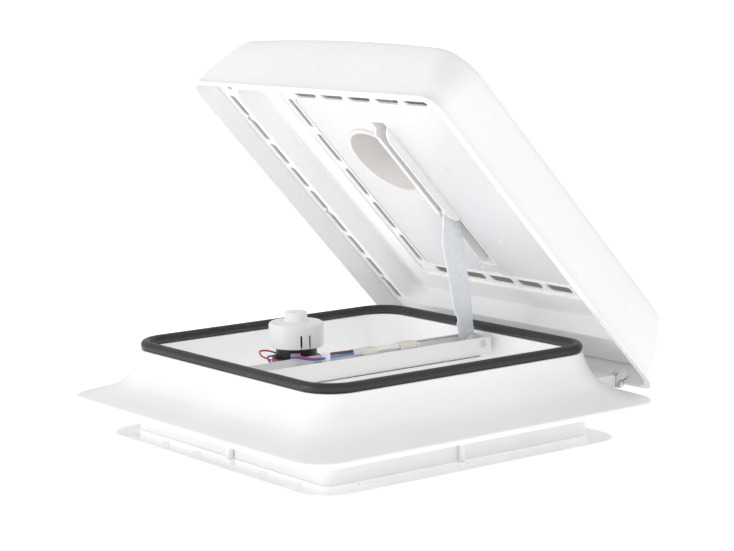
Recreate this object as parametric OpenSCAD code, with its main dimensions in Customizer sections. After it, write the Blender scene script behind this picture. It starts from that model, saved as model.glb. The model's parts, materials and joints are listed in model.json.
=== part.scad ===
// Roof vent cover: a lifting dome over a square roof opening, raised by an electric arm.
// Origin: centre of the roof opening, in the plane where the flange lies on the roof.
// +Z is up, the hinge is at +Y, the free edge of the dome is at -Y.

/* [Roof frame] */
// Side of the square opening in the roof
roof_opening = 400; // [396:1:404]
// Half width of the flange that lies on the roof
flange_half = 261; // [258:1:264]
// Height of the rim that turns down around the flange
flange_rim = 7; // [5:1:8]
// Depth of the spigot below the roof face
spigot_depth = 36; // [30:1:37]
// Wall thickness of the plastic mouldings
wall = 3; // [2.5:0.1:3.2]

/* [Seal] */
// Half width of the seal, to its centre line
seal_half = 198; // [196:0.5:199]
// Height of the seal's centre line above the roof
seal_height = 70.5; // [70:0.1:70.6]
// Radius of the seal's round section
seal_radius = 6; // [5:0.1:6]

/* [Dome] */
// How far the dome stands open
open_angle = 47; // [30:1:47]
// Height of the closed dome's rim above the roof
rim_height = 23.8; // [23:0.1:25]
// Height of the dome's edge above its rim
dome_height = 83; // [82:0.5:85]
// Extra height at the middle of the dome
dome_crown = 4; // [3:0.5:7]
// Extra height at the middle of the dome's edges
dome_arch = 9; // [8:0.5:10]

/* [Lifting arm] */
// Distance from the arm's pivot to its roller
arm_length = 170; // [170:0.1:170.5]
// Width of the steel strip
arm_width = 28; // [24:1:30]
// Thickness of the steel strip
arm_thickness = 2; // [1.5:0.1:2.5]
// Slope of the arm when the dome is closed
arm_closed_angle = 8.8; // [8.6:0.1:9]

/* [Trim frame] */
// Half width of the frame on the ceiling side
trim_half = 229; // [225:1:232]
// Height of the trim frame's upper rim, below the roof face
trim_top = -39; // [-42:1:-38]
// Height of the trim frame's outer wall
trim_wall_height = 19; // [17:1:20]

/* [Motor] */
// Radius of the motor's cap
cap_radius = 33.5; // [32:0.5:34.5]
// Height of the top of the motor's cap
cap_top = 98.5; // [97:0.5:99]

/* [Hidden] */
$fn = 64;
corner_steps = 8;
// Hinge axis, parallel to X
hinge_y = 250.3;
hinge_z = 18.5;
hinge_x = 180;
hinge_screw_z = 25;
lug_height = 17;
// Turns of the arm for each turn of the dome
arm_ratio = 1.53;
arm_angle = arm_closed_angle + arm_ratio * open_angle;
// Lower pivot of the arm, parallel to X
pivot_y = 172;
pivot_z = 55;
pin_gap = 0.05;
// Height of the rail's centre plane in the closed dome
rail_z = 81.5;
roller_radius = 7;
// Spigot and upstand
spigot_half = roof_opening / 2 - 2;
// Crossbeam
beam_left = -12;
beam_right = 30;
beam_front = -193.5;
beam_back = 186;
beam_bottom = 40;
beam_top = 63;
beam_wall = 2;
// Motor
motor_x = -58;
motor_y = -52;
motor_seat_z = 50;
cap_bottom = 68.5;
cap_knob_radius = 14;
cap_knob_top = 111;
pocket_x = -47;
pocket_y = -60;
pocket_radius = 51;
pocket_top = 115;
// Drive shaft in the crossbeam, parallel to Y
shaft_x = 11;
shaft_z = 41.5;
shaft_radius = 2.5;
wheel_radius = 8.6;
worm_radius = 3.9;
// Pane and liner of the dome, as heights above the roof when closed
liner_ledge_z = rim_height + 26;
liner_land_z = seal_height + 6.6;
liner_channel_z = liner_land_z - 3;
pane_z = liner_land_z + 0.5;
pane_half = 140;
pane_back = 146;
pane_front = -166;
// Two rows of slots in the liner: their length, width and pitch
outer_slot = [38, 11, 44.5];
outer_slot_shift = 3;
side_slot = [52, 11, 64];
end_slot = [44, 14, 54];
rail_front = -142;
rail_back = 128;
rail_slot_front = -132.5;
rail_slot_back = 26;
rail_top = 108;
// Side view of the rail's two ribs, near and far, as places along Y and heights
near_rib = [[-125, 79], [-121, 70.5], [-109, 66.5], [24, 66.5], [36, 70.5], [43, 79]];
far_rib = [[-121, 79], [-118, 73], [-112, 71], [30, 71], [36, 73], [40, 79]];
liner_wall = 2.5;
screw_radius = 2;
screw_head = 4.2;
post_radius = 4.4;
post_reach = roof_opening / 2 + 1.4;
// Posts for the trim frame's screws, one to each side of the spigot
post_places = [[post_reach, -8], [8, post_reach], [-post_reach, 8], [14, -post_reach]];
shelf_left = 17;
shelf_z = 60;
light_front = -30;
light_length = 150;
button_radius = 7;
button_travel = 1;
button_y = [-150, -126, -102];
lead_radius = 1.1;
cable_radius = 1.7;
tube_sides = 8;

// ---------------------------------------------------------------- shared shapes

// Points of a rounded rectangle, anticlockwise from above, at height z
function ring(half_x, front, back, radius, z) = [
    for (corner = [0:3], step = [0:corner_steps])
        let (turn = 90 * corner + 90 * step / corner_steps,
            centre_x = (corner == 0 || corner == 3) ? half_x - radius : radius - half_x,
            centre_y = (corner < 2) ? back - radius : front + radius)
        [centre_x + radius * cos(turn), centre_y + radius * sin(turn), z]];

// The same for a square about the origin
function square_ring(half, radius, z) = ring(half, -half, half, radius, z);

// Solid through a list of rings; a closed one returns from the last ring to the first
module loft(rings, closed = false) {
    count = len(rings[0]);
    last = len(rings) - 1;
    sides = [for (i = [0:closed ? last : last - 1], k = [0:count - 1])
        let (j = (i + 1) % (last + 1), next = (k + 1) % count)
        [i * count + k, j * count + k, j * count + next, i * count + next]];
    caps = closed ? [] : [
        [for (k = [0:count - 1]) k],
        [for (k = [count - 1:-1:0]) last * count + k]];
    polyhedron(points = [for (one = rings) each one], faces = concat(sides, caps));
}

// Flat rounded rectangle
module plate(half_x, front, back, radius) {
    translate([-half_x + radius, front]) square([2 * (half_x - radius), back - front]);
    translate([-half_x, front + radius]) square([2 * half_x, back - front - 2 * radius]);
    for (x = [radius - half_x, half_x - radius], y = [front + radius, back - radius])
        translate([x, y]) circle(radius);
}

// Upright wall between two rounded rectangles
module frame_wall(outer, thickness, front, back, radius, low, high) {
    translate([0, 0, low]) linear_extrude(high - low) difference() {
        plate(outer, front, back, radius);
        plate(outer - thickness, front + thickness, back - thickness, radius - thickness);
    }
}

// Slot with round ends, along X
module slot(length, width) {
    square([length - width, width], center = true);
    for (side = [-1, 1]) translate([side * (length - width) / 2, 0]) circle(width / 2, $fn = 24);
}

// Cylinder parallel to X between two places
module rod_x(from, to, radius) {
    translate([from, 0, 0]) rotate([0, 90, 0]) cylinder(r = radius, h = to - from);
}

// Moves what is drawn for the closed dome to the open place
module opened() {
    translate([0, hinge_y, hinge_z]) rotate([-open_angle, 0, 0])
        translate([0, -hinge_y, -hinge_z]) children();
}

// Puts what is drawn along -Y from the arm's pivot in its place
module on_arm() {
    translate([0, pivot_y, pivot_z]) rotate([-arm_angle, 0, 0]) children();
}

// Round tube along a list of points
module tube(points, radius) {
    last = len(points) - 1;
    rings = [for (i = [0:last])
        let (ahead = points[min(i + 1, last)] - points[max(i - 1, 0)],
            along = ahead / norm(ahead),
            raw_side = abs(along[2]) > 0.9 ? cross([1, 0, 0], along) : cross([0, 0, 1], along),
            side = raw_side / norm(raw_side),
            up = cross(along, side))
        [for (k = [0:tube_sides - 1])
            let (turn = 360 * k / tube_sides)
            points[i] + radius * (cos(turn) * side + sin(turn) * up)]];
    loft(rings);
}

// Smooth curve through hand-set points
function curve_at(p, i, t) = let (
    a = p[max(i - 1, 0)], b = p[i], c = p[i + 1], d = p[min(i + 2, len(p) - 1)])
    0.5 * (2 * b + (c - a) * t + (2 * a - 5 * b + 4 * c - d) * t * t
    + (3 * b - a - 3 * c + d) * t * t * t);
function curve(p, steps) = concat(
    [for (i = [0:len(p) - 2], s = [0:steps - 1]) curve_at(p, i, s / steps)],
    [p[len(p) - 1]]);

// ---------------------------------------------------------------- roof frame

module roof_frame() {
    top = seal_height - seal_radius + 0.6;
    hollow = [
        square_ring(spigot_half, 14, -spigot_depth),
        square_ring(spigot_half, 15, -2),
        square_ring(197.5, 34, 46),
        square_ring(199.5, 38, 56),
        square_ring(203, 39, 47),
        square_ring(209, 39, 34),
        square_ring(218.5, 39, 21.5),
        square_ring(235, 39, 12),
        square_ring(238, 37, 0)];
    outer = [
        square_ring(flange_half - 3, 38, 0),
        square_ring(flange_half, 41, 1),
        square_ring(flange_half, 41, flange_rim),
        square_ring(flange_half - 7, 41, flange_rim + 2.5),
        square_ring(flange_half - 24, 42, 15),
        square_ring(flange_half - 40, 42, 24),
        square_ring(212, 42, 37),
        square_ring(206, 42, 50),
        square_ring(203, 42, top)];
    inner = [
        square_ring(193.5, 36, top),
        square_ring(193.5, 36, 48),
        square_ring(194.5, 16, -2),
        square_ring(spigot_half - wall, 12, -spigot_depth)];
    color("white") difference() {
        union() {
            loft(concat(hollow, outer, inner), closed = true);
            for (side = [-1, 1]) translate([side * hinge_x - 17, 208, 2]) cube([34, 28, 29]);
            for (place = post_places) translate([place[0], place[1], -spigot_depth])
                cylinder(r = post_radius, h = 38);
        }
        for (side = [-1, 1], x = [-11, 11]) translate([side * hinge_x + x, 222, hinge_screw_z])
            rotate([-90, 0, 0]) cylinder(r = screw_radius - 0.2, h = 20);
        for (place = post_places) translate([place[0], place[1], -spigot_depth - 1])
            cylinder(r = screw_radius - 0.2, h = 28);
    }
}

module frame_seal() {
    radius = 39;
    straight = seal_half - radius;
    color([0.2, 0.22, 0.25]) translate([0, 0, seal_height]) for (quarter = [0:3])
        rotate([0, 0, 90 * quarter]) {
            translate([straight, straight, 0]) rotate_extrude(angle = 90)
                translate([radius, 0]) circle(seal_radius, $fn = 32);
            translate([seal_half, straight, 0]) rotate([90, 0, 0])
                cylinder(r = seal_radius, h = 2 * straight, $fn = 32);
        }
}

// ---------------------------------------------------------------- hinges

module hinge_bracket(side) {
    translate([side * hinge_x, 0, 0]) difference() {
        union() {
            translate([-17, 236, 16]) cube([34, 2.6, 14.4]);
            translate([-5, 238, hinge_z - 2.9]) cube([10, hinge_y - 238, 5.8]);
            translate([0, hinge_y, hinge_z]) rod_x(-5, 5, 6);
        }
        translate([0, hinge_y, hinge_z]) rod_x(-6, 6, 3);
        for (x = [-11, 11]) translate([x, 230, hinge_screw_z]) rotate([-90, 0, 0])
            cylinder(r = screw_radius, h = 12);
    }
}

module hinge_bracket_left() color("white") hinge_bracket(-1);
module hinge_bracket_right() color("white") hinge_bracket(1);

module hinge_pin(side) {
    color("silver") translate([side * hinge_x, hinge_y, hinge_z]) {
        rod_x(-16, 16, 3);
        rod_x(16, 17.5, 4.5);
    }
}

module hinge_pin_left() hinge_pin(-1);
module hinge_pin_right() hinge_pin(1);

module bracket_screws() {
    color("silver") for (side = [-1, 1], x = [-11, 11])
        translate([side * hinge_x + x, 238.6, hinge_screw_z]) rotate([-90, 0, 0]) {
            translate([0, 0, -14]) cylinder(r = screw_radius - 0.2, h = 14.2);
            cylinder(r = 3.6, h = 1.8);
        }
}

module hinge_lugs(side) {
    translate([side * hinge_x, 0, 0]) for (x = [-14.5, 5.6]) difference() {
        union() {
            translate([x, hinge_y, hinge_z]) rod_x(0, 8.9, 6);
            translate([x, hinge_y - 4, hinge_z]) cube([8.9, 9.3, lug_height]);
        }
        translate([x, hinge_y, hinge_z]) rod_x(-1, 10, 3 + pin_gap);
    }
}

module hinge_lugs_left() color("white") opened() hinge_lugs(-1);
module hinge_lugs_right() color("white") opened() hinge_lugs(1);

// ---------------------------------------------------------------- trim frame

module trim_frame() {
    bottom = trim_top - trim_wall_height;
    rib_pitch = 68;
    rib_shift = [1, 12, 1, 12];
    collar_half = 193.5;
    inner_half = 198.5;
    color("white") difference() {
        union() {
            loft([
                square_ring(trim_half - 26, 18, bottom),
                square_ring(trim_half - 8, 34, bottom),
                square_ring(trim_half - 2.5, 40, bottom + 4),
                square_ring(trim_half, 43, trim_top - 6),
                square_ring(trim_half, 43, trim_top),
                square_ring(trim_half - 2.5, 40.5, trim_top),
                square_ring(trim_half - 2.5, 40.5, trim_top - 6),
                square_ring(trim_half - 5, 37.5, bottom + 6),
                square_ring(trim_half - 9, 32, bottom + 2.6),
                square_ring(trim_half - 26, 18, bottom + 2.6)], closed = true);
            frame_wall(inner_half, 2.5, -inner_half, inner_half, 14, bottom, -spigot_depth - 0.6);
            frame_wall(collar_half, 2.5, -collar_half, collar_half, 14, bottom, -5);
            frame_wall(trim_half - 24, 14, -trim_half + 24, trim_half - 24, 18, bottom, bottom + 2.5);
            for (quarter = [0:3], place = [-2:2]) rotate([0, 0, 90 * quarter])
                translate([0, place * rib_pitch + rib_shift[quarter] + 1, 0])
                    rotate([90, 0, 0]) linear_extrude(2) polygon([
                        [inner_half - 1, bottom + 1], [trim_half - 9, bottom + 1],
                        [trim_half - 4.5, bottom + 5], [trim_half - 1.5, trim_top - 5.5],
                        [trim_half - 1.5, trim_top - 2.5], [trim_half - 20, trim_top - 2.5],
                        [trim_half - 23, trim_top - 0.3], [inner_half - 1, trim_top - 0.3]]);
            for (place = post_places) translate([place[0], place[1], bottom])
                cylinder(r = post_radius, h = -spigot_depth - bottom - 0.6);
        }
        for (place = post_places) translate([place[0], place[1], bottom - 1])
            cylinder(r = screw_radius + 0.3, h = 30);
        for (place = post_places) translate([place[0], place[1], bottom - 1])
            cylinder(r = screw_head + 0.3, h = 4);
    }
}

module trim_screws() {
    bottom = trim_top - trim_wall_height;
    color("silver") for (place = post_places) translate([place[0], place[1], bottom]) {
        translate([0, 0, 2.8]) cylinder(r = screw_radius - 0.2, h = 40);
        translate([0, 0, 0.4]) cylinder(r = screw_head, h = 2.6);
    }
}

// ---------------------------------------------------------------- crossbeam

module crossbeam_tray() {
    length = beam_back - beam_front;
    width = beam_right - beam_left;
    color("white") difference() {
        union() {
            difference() {
                translate([beam_left, beam_front, beam_bottom]) cube([width, length, beam_top - beam_bottom]);
                translate([beam_left + beam_wall, beam_front + beam_wall, beam_bottom + beam_wall])
                    cube([width - 2 * beam_wall, length - 2 * beam_wall, beam_top]);
            }
            translate([motor_x, motor_y, beam_bottom]) cylinder(r = 35, h = 6);
            translate([motor_x, motor_y - 28, beam_bottom]) cube([beam_left - motor_x + 1, 56, 6]);
            translate([shelf_left, -95, beam_bottom + 1])
                cube([beam_right - shelf_left - 1, 172, shelf_z - beam_bottom - 1]);
        }
        translate([motor_x, motor_y, beam_bottom - 1]) cylinder(r = 8, h = 10);
        for (turn = [45:90:315])
            translate([motor_x + 27 * cos(turn), motor_y + 27 * sin(turn), beam_bottom - 1])
                cylinder(r = screw_radius, h = 10);
        translate([beam_left - 1, pivot_y, pivot_z]) rod_x(0, width + 2, 5.5);
        translate([shaft_x - 5, motor_y - 8, beam_bottom - 7]) cube([10, beam_back - motor_y + 4, 10]);
        translate([beam_left - 1, motor_y - 9.2, beam_bottom + 6]) cube([4, 18.4, 8.2]);
        for (y = button_y) translate([9, y, beam_bottom - 1]) cylinder(r = 3, h = 5);
    }
}

module crossbeam_cover() {
    low = beam_bottom - 9.5;
    color("white") difference() {
        translate([beam_left - 3, beam_front + 19, low])
            cube([beam_right - beam_left + 6, beam_back - beam_front - 37, 9.3]);
        translate([beam_left - 1, beam_front + 21, low + 2])
            cube([beam_right - beam_left + 2, beam_back - beam_front - 41, 9]);
        for (y = button_y) translate([9, y, low - 1]) cylinder(r = button_radius + 0.4, h = 5);
        translate([-1, light_front - 4, low - 1]) cube([20, light_length + 8, 5]);
        translate([shaft_x - 5.2, 160, low + 5]) cube([10.4, 12, 10]);
    }
}

module light_diffuser() {
    color("ivory") translate([-0.8, light_front - 3.8, beam_bottom - 9.5])
        cube([19.6, light_length + 7.6, 2]);
}

module light_board() {
    color("darkgreen") translate([1, light_front, beam_bottom - 5.3]) cube([16, light_length, 1.6]);
    color("gold") for (place = [0:5]) translate([6.5, light_front + 10 + 25 * place, beam_bottom - 6.5])
        cube([5, 5, 1.2]);
}

module control_board() {
    color("darkgreen") translate([-4, -166, beam_bottom - 1.7]) cube([28, 80, 1.6]);
}

module push_button(y) {
    translate([9, y, beam_bottom - 11.2]) {
        cylinder(r = button_radius, h = 5.4);
        cylinder(r = 2, h = 7.6);
    }
}

module button_open() color("lightgrey") push_button(button_y[0]);
module button_close() color("lightgrey") push_button(button_y[1]);
module button_light() color("lightgrey") push_button(button_y[2]);

// ---------------------------------------------------------------- motor and drive

module motor_gearcase() {
    color("dimgrey") difference() {
        translate([motor_x, motor_y, beam_bottom + 6]) union() {
            cylinder(r = 30, h = 9.8);
            translate([0, -9, 0]) cube([shaft_x - motor_x - 4, 18, 8]);
        }
        for (turn = [45:90:315])
            translate([motor_x + 27 * cos(turn), motor_y + 27 * sin(turn), beam_bottom])
                cylinder(r = screw_radius - 0.3, h = 12);
    }
}

module motor_body() {
    color([0.12, 0.12, 0.13]) difference() {
        translate([motor_x, motor_y, beam_bottom + 15.8]) union() {
            cylinder(r = 25, h = cap_bottom - beam_bottom - 15.8);
            cylinder(r = 22, h = 34);
            cylinder(r = 4, h = 42);
        }
        translate([motor_x, motor_y, beam_bottom + 50]) cylinder(r = 2, h = 10);
    }
}

module motor_cap() {
    slot_turns = [-6, -25];
    color("white") translate([motor_x, motor_y, 0]) difference() {
        rotate_extrude() polygon([
            [23, cap_bottom], [cap_radius, cap_bottom], [cap_radius, cap_top - 2.5],
            [cap_radius - 2.5, cap_top], [cap_knob_radius + 1.5, cap_top],
            [cap_knob_radius, cap_top + 1.5], [cap_knob_radius, cap_knob_top - 2.5],
            [cap_knob_radius - 2.5, cap_knob_top], [0, cap_knob_top],
            [0, cap_knob_top - 2.5], [cap_knob_radius - 3.5, cap_knob_top - 2.5],
            [cap_knob_radius - 3.5, cap_top - 2.5], [cap_radius - 2.5, cap_top - 2.5],
            [cap_radius - 2.5, cap_bottom + 2], [23, cap_bottom + 2]]);
        for (turn = slot_turns) rotate([0, 0, turn])
            translate([cap_radius - 4, -1.2, cap_bottom - 1]) cube([6, 2.4, 18]);
    }
}

module limit_switch() {
    translate([motor_x, motor_y, beam_bottom + 15.8]) rotate([0, 0, -38]) {
        color("dimgrey") translate([25.2, -6, 0]) cube([4.8, 12, 7.8]);
        color("green") translate([30, -5, 0.6]) cube([1, 10, 6.6]);
    }
}

module drive_shaft() {
    color("silver") translate([shaft_x, motor_y, shaft_z]) rotate([-90, 0, 0])
        cylinder(r = shaft_radius, h = pivot_y + 9 - motor_y);
    color("silver") translate([shaft_x, motor_y, shaft_z]) rotate([-90, 0, 0])
        cylinder(r = 4.2, h = 12);
}

module drive_worm() {
    color("goldenrod") translate([shaft_x, 150, shaft_z]) rotate([-90, 0, 0]) difference() {
        union() {
            cylinder(r = worm_radius, h = 26);
            for (turn = [0:5]) translate([0, 0, 2 + 4 * turn]) cylinder(r = worm_radius + 0.7, h = 1.6);
        }
        translate([0, 0, -1]) cylinder(r = shaft_radius, h = 28);
    }
}

module shaft_bushes() {
    color("ivory") for (y = [0, 120]) translate([shaft_x, y, shaft_z]) rotate([-90, 0, 0]) difference() {
        cylinder(r = 5, h = 8);
        translate([0, 0, -1]) cylinder(r = shaft_radius + pin_gap, h = 10);
    }
}

// ---------------------------------------------------------------- leads

red_route = [[-75.4, -70.2, 59], [-83, -79, 62], [-82, -90, 62], [-66, -97, 59], [-48, -95, 57],
    [-32, -90, 57], [-22, -85, 60.5], [-14, -81, 64.3], [-4, -78, 64.3], [6, -76, 64.4],
    [13, -74, 64.7], [17, -71, 65], [18, -68.1, 65]];
blue_route = [[-66, -76, 58], [-70, -86, 57], [-62, -91, 54], [-50, -91, 51], [-38, -91, 50],
    [-28, -92, 52], [-20, -91, 59], [-13.5, -88, 64.2], [-6, -86, 64.4], [4, -84, 64.3],
    [14, -80, 64.4], [20.5, -74, 65.3], [22, -68.1, 66]];
supply_blue_route = [[22, -64, 66], [22.6, -55, 66.3], [22.2, -45, 66.2], [21.8, -35, 66], [22, -27, 66]];
supply_brown_route = [[22, -64, 69.6], [21.6, -55, 70], [22.2, -45, 69.8], [22.2, -35, 69.6],
    [22, -27, 69.6]];
conduit_route = [[22, 7.1, 66], [22, 9, 66], [22.4, 15, 66.6], [21.8, 24, 66.8], [22.2, 33, 66.4],
    [22, 41, 66], [22, 42.9, 66]];

module motor_lead_red() color("red") tube(curve(red_route, 4), lead_radius);
module motor_lead_blue() color("blue") tube(curve(blue_route, 4), lead_radius);
module supply_lead_blue() color("royalblue") tube(curve(supply_blue_route, 3), cable_radius);
module supply_lead_brown() color("saddlebrown") tube(curve(supply_brown_route, 3), cable_radius);
module lead_conduit() color("white") tube(curve(conduit_route, 3), 3.4);

module lead_sleeve() {
    color("lavender") translate([22, -27, 67]) rotate([-90, 0, 0]) cylinder(r = 4.6, h = 12);
}

module connector(y, length) {
    color("ivory") {
        translate([17, y, shelf_z]) cube([10, length, 10.6]);
        translate([18.5, y + 3, shelf_z + 10.6]) cube([7, length / 2 - 4, 1.4]);
        translate([18.5, y + length / 2 + 2, shelf_z + 10.6]) cube([7, length / 2 - 5, 1]);
    }
}

module connector_front() connector(-15, 22);
module connector_rear() connector(43, 25);

module lead_clips() {
    color("white") {
        translate([16, -68, shelf_z]) cube([11.5, 4, 12]);
        translate([18, 69, shelf_z]) difference() {
            cube([8, 5, 8]);
            translate([4, 6, 4.6]) rotate([90, 0, 0]) cylinder(r = 2.4, h = 7);
        }
    }
}

// ---------------------------------------------------------------- arm

module arm_shaft_bushes() {
    color("ivory") translate([0, pivot_y, pivot_z]) for (x = [beam_left, beam_right - beam_wall])
        difference() {
            rod_x(x, x + beam_wall, 5.5);
            rod_x(x - 1, x + beam_wall + 1, 4 + pin_gap);
        }
}

module arm_shaft() {
    color("silver") on_arm() rod_x(beam_left + 0.5, beam_right - 0.5, 4);
}

module arm_worm_wheel() {
    teeth = 24;
    color("goldenrod") on_arm() translate([shaft_x - 4, 0, 0]) difference() {
        rod_x(0, 8, wheel_radius);
        rod_x(-1, 9, 4);
        for (tooth = [0:teeth - 1]) rotate([360 * tooth / teeth, 0, 0])
            translate([-1, -0.5, wheel_radius - 1.2]) cube([10, 1, 3]);
    }
}

module lifting_arm() {
    half = arm_width / 2;
    color("lightsteelblue") on_arm() rotate([90, 0, -90]) translate([0, 0, -arm_thickness / 2])
        linear_extrude(arm_thickness) difference() {
            union() {
                circle(12);
                polygon([[0, -12], [22, -12], [40, -half], [132, -half - 4.5], [arm_length, -10],
                    [arm_length, 10], [138, half], [40, half], [22, 12], [0, 12]]);
                translate([arm_length, 0]) circle(10);
            }
            circle(4);
            translate([arm_length, 0]) circle(2.5);
            translate([31, -half - 5]) circle(8.5);
        }
}

module arm_pin() {
    color("silver") on_arm() translate([0, -arm_length, 0]) {
        rod_x(-11.1, 11.1, 2.5);
        for (x = [-11.7, 11.1]) rod_x(x, x + 0.6, 3.6);
    }
}

module arm_roller() {
    color("ivory") on_arm() translate([0, -arm_length, 0]) for (x = [-11, 2]) difference() {
        rod_x(x, x + 9, roller_radius);
        rod_x(x - 1, x + 10, 2.5 + pin_gap);
    }
}

// ---------------------------------------------------------------- dome

dome_middle = 8;
side_steps = 7;

// The same ring with points along its straight sides too
function long_ring(half_x, front, back, radius, z) =
    let (points = ring(half_x, front, back, radius, z), count = len(points))
    [for (i = [0:count - 1]) each (i % (corner_steps + 1) < corner_steps) ? [points[i]]
        : [for (s = [0:side_steps])
            points[i] + (points[(i + 1) % count] - points[i]) * s / (side_steps + 1)]];

// Raises a ring by a share of the arch, less towards the dome's corners
function lifted(points, share, bend = 1) = [for (p = points)
    [p[0], p[1], p[2] + dome_arch * share * (1 - bend * pow(p[0] * (p[1] - dome_middle) / 54000, 2))]];

module dome_shell() {
    top = rim_height + dome_height;
    // Half width, front, back, corner radius, height above the rim and share of the arch
    side = [
        [246.4, -246.4, 260.8, 24, 0, 0],
        [246.4, -246.4, 260.8, 24, 2.2, 0],
        [240, -243.6, 258.6, 26, 4, 0],
        [237, -243.4, 259.8, 27, 30, 0],
        [233.5, -243.2, 258, 26, 58, 0.5],
        [230.5, -241, 254, 24, dome_height - 10, 1],
        [225, -236.5, 248.5, 22, dome_height - 3, 1]];
    thickness = [wall, -wall, wall, wall, 0, 0];
    drop = [0, 0, 0, 0, 1.5, 2.8];
    function shell_ring(one) =
        lifted(long_ring(one[0], one[1], one[2], one[3], rim_height + one[4]), one[5]);
    function inner_ring(i) = shell_ring(side[i] - thickness - [0, 0, 0, 0, drop[i - 1], 0]);
    function crown_ring(share, down) = lifted(
        long_ring(213 * share, dome_middle - 232 * share, dome_middle + 229 * share, 26 * share,
            top + dome_crown * (1 - share * share) - down), 1, share > 0.2 ? 1 : 0);
    crown_shares = [1, 0.85, 0.65, 0.45, 0.25, 0.1];
    color("white") opened() loft(concat(
        [for (i = [5:-1:0]) crown_ring(crown_shares[i], wall)],
        [for (i = [6:-1:3]) inner_ring(i)],
        [shell_ring([237, -240.6, 255.6, 24, 4, 0]), shell_ring([237, -240.6, 255.6, 24, 0, 0])],
        [for (one = side) shell_ring(one)],
        [for (share = crown_shares) crown_ring(share, 0)]));
}

module ring_plate(outer, inner, low) {
    translate([0, 0, low]) linear_extrude(liner_wall) difference() {
        plate(outer[0], outer[1], outer[2], outer[3]);
        plate(inner[0], inner[1], inner[2], inner[3]);
    }
}

module liner_slots() {
    for (place = [-4:4]) {
        translate([outer_slot[2] * place, -224]) slot(outer_slot[0], outer_slot[1]);
        for (x = [-220, 220]) translate([x, outer_slot[2] * place + outer_slot_shift]) rotate([0, 0, 90])
            slot(outer_slot[0], outer_slot[1]);
    }
    for (place = [-2:2]) {
        for (y = [-175.5, 157]) translate([end_slot[2] * place, y]) slot(end_slot[0], end_slot[1]);
        for (x = [-150.2, 150.2]) translate([x, side_slot[2] * place - 10]) rotate([0, 0, 90])
            slot(side_slot[0], side_slot[1]);
    }
    for (side = [-1, 1]) translate([209 * side, -210]) circle(5);
}

module dome_liner() {
    edge = [233, -240, 253.5, 38];
    wall_line = [209, -209, 209, 27];
    land_line = [187, -190.5, 187, 20];
    channel_line = [163, -187.5, 170.5, 15];
    band_line = [160.5, -185, 168, 12.5];
    pane_line = [pane_half, pane_front, pane_back, 9];
    inset = [1, -1, 1, 1];
    color("whitesmoke") opened() difference() {
        union() {
            ring_plate(edge, wall_line - inset, liner_ledge_z);
            frame_wall(209, liner_wall, -209, 209, 27, liner_ledge_z, liner_land_z + liner_wall);
            ring_plate(wall_line - inset, land_line, liner_land_z);
            frame_wall(land_line[0] + 0.1, liner_wall, land_line[1] - 0.1, land_line[2] + 0.1, 20,
                liner_channel_z, liner_land_z + liner_wall);
            ring_plate(land_line - inset, channel_line - inset, liner_channel_z);
            frame_wall(channel_line[0], liner_wall, channel_line[1], channel_line[2], 15,
                liner_channel_z, liner_land_z + liner_wall);
            ring_plate(band_line + [0.5, -0.5, 0.5, 0], pane_line, liner_land_z);
        }
        translate([0, 0, liner_ledge_z - 1]) linear_extrude(40) liner_slots();
    }
}

module dome_pane() {
    color([0.8, 0.85, 0.9, 0.6]) opened() translate([0, 0, pane_z]) linear_extrude(2) difference() {
        plate(pane_half - 0.1, pane_front + 0.1, pane_back - 0.1, 8.9);
        translate([pocket_x, pocket_y]) circle(pocket_radius + 2.6);
        translate([-14.5, rail_front - 0.1]) square([29, rail_back - rail_front + 0.2]);
    }
}

// Closed cup above the motor's cap, with a flat wall beside the rail
module motor_pocket() {
    low = pane_z - 2.5;
    flat = -14.6;
    color("white") opened() difference() {
        translate([pocket_x, pocket_y, 0]) union() {
            translate([0, 0, low]) cylinder(r = pocket_radius + 2.5, h = pocket_top - low);
            translate([0, 0, low]) cylinder(r = pocket_radius + 6, h = 2.4);
        }
        difference() {
            translate([pocket_x, pocket_y, low - 1]) cylinder(r = pocket_radius, h = pocket_top - low - 1.5);
            translate([flat - 2.4, -200, 0]) cube([60, 300, 200]);
        }
        translate([flat, -200, 0]) cube([60, 300, 200]);
    }
}

module rail_rib(left, outline) {
    translate([left, 0, 0]) rotate([90, 0, 90]) linear_extrude(2.4) polygon(outline);
}

module arm_rail() {
    track_low = rail_z - 8.3;
    length = rail_back - 2.4 - rail_slot_front;
    color("white") opened() difference() {
        union() {
            translate([-14.4, rail_front, pane_z]) cube([28.8, rail_back - rail_front, rail_top - pane_z]);
            rail_rib(12, near_rib);
            rail_rib(-14.4, far_rib);
            for (x = [-12.2, 8.6]) translate([x, far_rib[2][0], rail_z - 10.5])
                cube([3.6, rail_slot_back - far_rib[2][0], 2.2]);
        }
        translate([-12, rail_slot_front, track_low]) cube([24, length, 16.6]);
        translate([-2.5, rail_slot_front, rail_z]) cube([5, length, 12]);
        translate([-12, rail_slot_back, rail_z - 12])
            cube([24, rail_back - rail_slot_back - 2.4, rail_top - rail_z + 9.5]);
    }
}

// Screws between the slots, on the two sides and along the free edge
liner_screw_places = concat(
    [for (x = [-220, 220], gap = [-3.5, 0.5, 3.5]) [x, outer_slot[2] * gap + outer_slot_shift]],
    [for (gap = [-3.5, 0.5, 3.5]) [outer_slot[2] * gap, -224]]);

module dome_screws() {
    color("silver") opened() for (place = liner_screw_places)
        translate([place[0], place[1], liner_ledge_z]) {
            translate([0, 0, -1.6]) cylinder(r = 3, h = 1.6);
        }
}

// ---------------------------------------------------------------- drawing

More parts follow.
